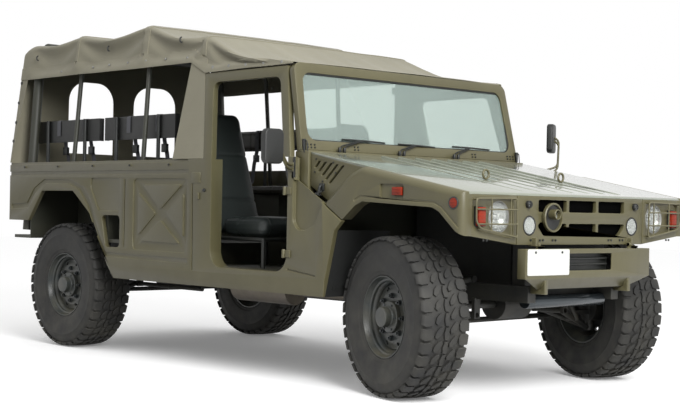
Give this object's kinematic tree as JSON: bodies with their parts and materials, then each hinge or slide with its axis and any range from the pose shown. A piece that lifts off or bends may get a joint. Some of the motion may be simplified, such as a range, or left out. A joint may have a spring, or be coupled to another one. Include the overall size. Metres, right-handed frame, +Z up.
{
  "type": "high-mobility soft-top four-wheel-drive army troop carrier",
  "caption": "Open-sided army troop carrier with a canvas top, steered wheels on wishbones, a forward-opening clamshell hood, inward-facing benches and a side-hung rear door.",
  "frame": {"origin": "on the ground, at the middle of the overall length and width", "axes": "+X forward, +Y to the vehicle's left, +Z up"},
  "size_m": [4.91, 2.81, 2.3599],
  "materials": {
    "olive_paint": "semi-matt olive drab paint",
    "frame_paint": "black chassis paint",
    "rim_paint": "dark grey-green paint",
    "exhaust_steel": "dull heated steel",
    "black_plastic": "grained black plastic",
    "black_metal": "satin black paint",
    "glass": "clear laminated glass",
    "lamp_glass": "fluted lamp lens",
    "amber_lens": "orange lens",
    "red_lens": "red lens",
    "canvas": "waxed khaki canvas",
    "seat_vinyl": "dark green-black vinyl",
    "tyre": "worn black rubber"
  },
  "bodies": {
    "root": {"bench_seats": "seat_vinyl", "body_side_left": "olive_paint", "body_side_right": "olive_paint", "canopy": "canvas", "canopy_bows": "black_metal", "chassis_frame": "frame_paint", "cowl": "olive_paint", "dashboard": "black_plastic", "driveline": "frame_paint", "engine": "frame_paint", "exhaust": "exhaust_steel", "floor_pan": "olive_paint", "front_bumper": "olive_paint", "front_seats": "seat_vinyl", "fuel_tanks": "black_plastic", "mirrors": "black_metal", "rear_panel": "olive_paint", "seat_frames": "black_metal", "suspension": "frame_paint", "tail_lamps": "red_lens", "wheel_liners": "black_plastic", "windscreen_frame": "olive_paint", "windscreen_glass": "glass", "wipers": "black_metal"},
    "hood": {"hood_panel": "olive_paint", "fender_right": "olive_paint", "fender_left": "olive_paint", "front_grille": "olive_paint", "headlamps": "lamp_glass", "front_lamps": "lamp_glass", "amber_lamps": "amber_lens", "hood_fittings": "olive_paint"},
    "rear_door": {"rear_door": "olive_paint"},
    "steering_wheel": {"steering_wheel": "black_plastic"},
    "tie_rod_front": {"tie_rod_front": "frame_paint"},
    "tie_rod_rear": {"tie_rod_rear": "frame_paint"},
    "knuckle_front_right": {"knuckle_front_right": "frame_paint"},
    "wheel_front_right": {"tyre_front_right": "tyre", "rim_front_right": "rim_paint"},
    "knuckle_front_left": {"knuckle_front_left": "frame_paint"},
    "wheel_front_left": {"tyre_front_left": "tyre", "rim_front_left": "rim_paint"},
    "knuckle_rear_right": {"knuckle_rear_right": "frame_paint"},
    "wheel_rear_right": {"tyre_rear_right": "tyre", "rim_rear_right": "rim_paint"},
    "knuckle_rear_left": {"knuckle_rear_left": "frame_paint"},
    "wheel_rear_left": {"tyre_rear_left": "tyre", "rim_rear_left": "rim_paint"}
  },
  "joints": [
    {"name": "hood_open", "type": "hinge", "parent": "root", "child": "hood", "pos_m": [2.413, 0, 0.895], "axis": [0, 1, 0], "range_deg": [0, 75]},
    {"name": "rear_door_open", "type": "hinge", "parent": "root", "child": "rear_door", "pos_m": [-2.3393, 0.424, 1.1], "axis": [0, 0, -1], "range_deg": [0, 100]},
    {"name": "steer_front_right", "type": "hinge", "parent": "root", "child": "knuckle_front_right", "pos_m": [1.8425, -0.85, 0.465], "axis": [0, 0, 1], "range_deg": [-16.6, 47.4]},
    {"name": "roll_front_right", "type": "hinge", "parent": "knuckle_front_right", "child": "wheel_front_right", "pos_m": [1.82657, -0.90785, 0.465], "axis": [0.2656, 0.9641, 0], "continuous": true},
    {"name": "steer_front_left", "type": "hinge", "parent": "root", "child": "knuckle_front_left", "pos_m": [1.8425, 0.85, 0.465], "axis": [0, 0, 1], "range_deg": [-16.6, 47.4]},
    {"name": "roll_front_left", "type": "hinge", "parent": "knuckle_front_left", "child": "wheel_front_left", "pos_m": [1.85843, 0.90785, 0.465], "axis": [0.2656, 0.9641, 0], "continuous": true},
    {"name": "tie_rod_front_swing", "type": "hinge", "parent": "knuckle_front_right", "child": "tie_rod_front", "pos_m": [1.65714, -0.65684, 0.3977], "axis": [0, 0, 1], "range_deg": [-55.98, 19.67]},
    {"name": "steer_rear_right", "type": "hinge", "parent": "root", "child": "knuckle_rear_right", "pos_m": [-1.5525, -0.85, 0.465], "axis": [0, 0, 1], "range_deg": [-12, 12]},
    {"name": "roll_rear_right", "type": "hinge", "parent": "knuckle_rear_right", "child": "wheel_rear_right", "pos_m": [-1.5525, -0.91, 0.465], "axis": [0, 1, 0], "continuous": true},
    {"name": "steer_rear_left", "type": "hinge", "parent": "root", "child": "knuckle_rear_left", "pos_m": [-1.5525, 0.85, 0.465], "axis": [0, 0, 1], "range_deg": [-12, 12]},
    {"name": "roll_rear_left", "type": "hinge", "parent": "knuckle_rear_left", "child": "wheel_rear_left", "pos_m": [-1.5525, 0.91, 0.465], "axis": [0, 1, 0], "continuous": true},
    {"name": "tie_rod_rear_swing", "type": "hinge", "parent": "knuckle_rear_right", "child": "tie_rod_rear", "pos_m": [-1.7825, -0.713, 0.3977], "axis": [0, 0, 1], "range_deg": [-14.38, 14.38]},
    {"name": "steering_wheel_turn", "type": "hinge", "parent": "root", "child": "steering_wheel", "pos_m": [0.7225, 0.56, 1.33], "axis": [-0.6428, 0, 0.766], "range_deg": [-266, 759]}
  ],
  "couplings": [
    {"joint": "steer_front_left", "follows": "steer_front_right", "ratio": 1},
    {"joint": "tie_rod_front_swing", "follows": "steer_front_right", "ratio": -1.179},
    {"joint": "steer_rear_left", "follows": "steer_rear_right", "ratio": 1},
    {"joint": "tie_rod_rear_swing", "follows": "steer_rear_right", "ratio": -1.19},
    {"joint": "steering_wheel_turn", "follows": "steer_front_right", "ratio": 16}
  ]
}
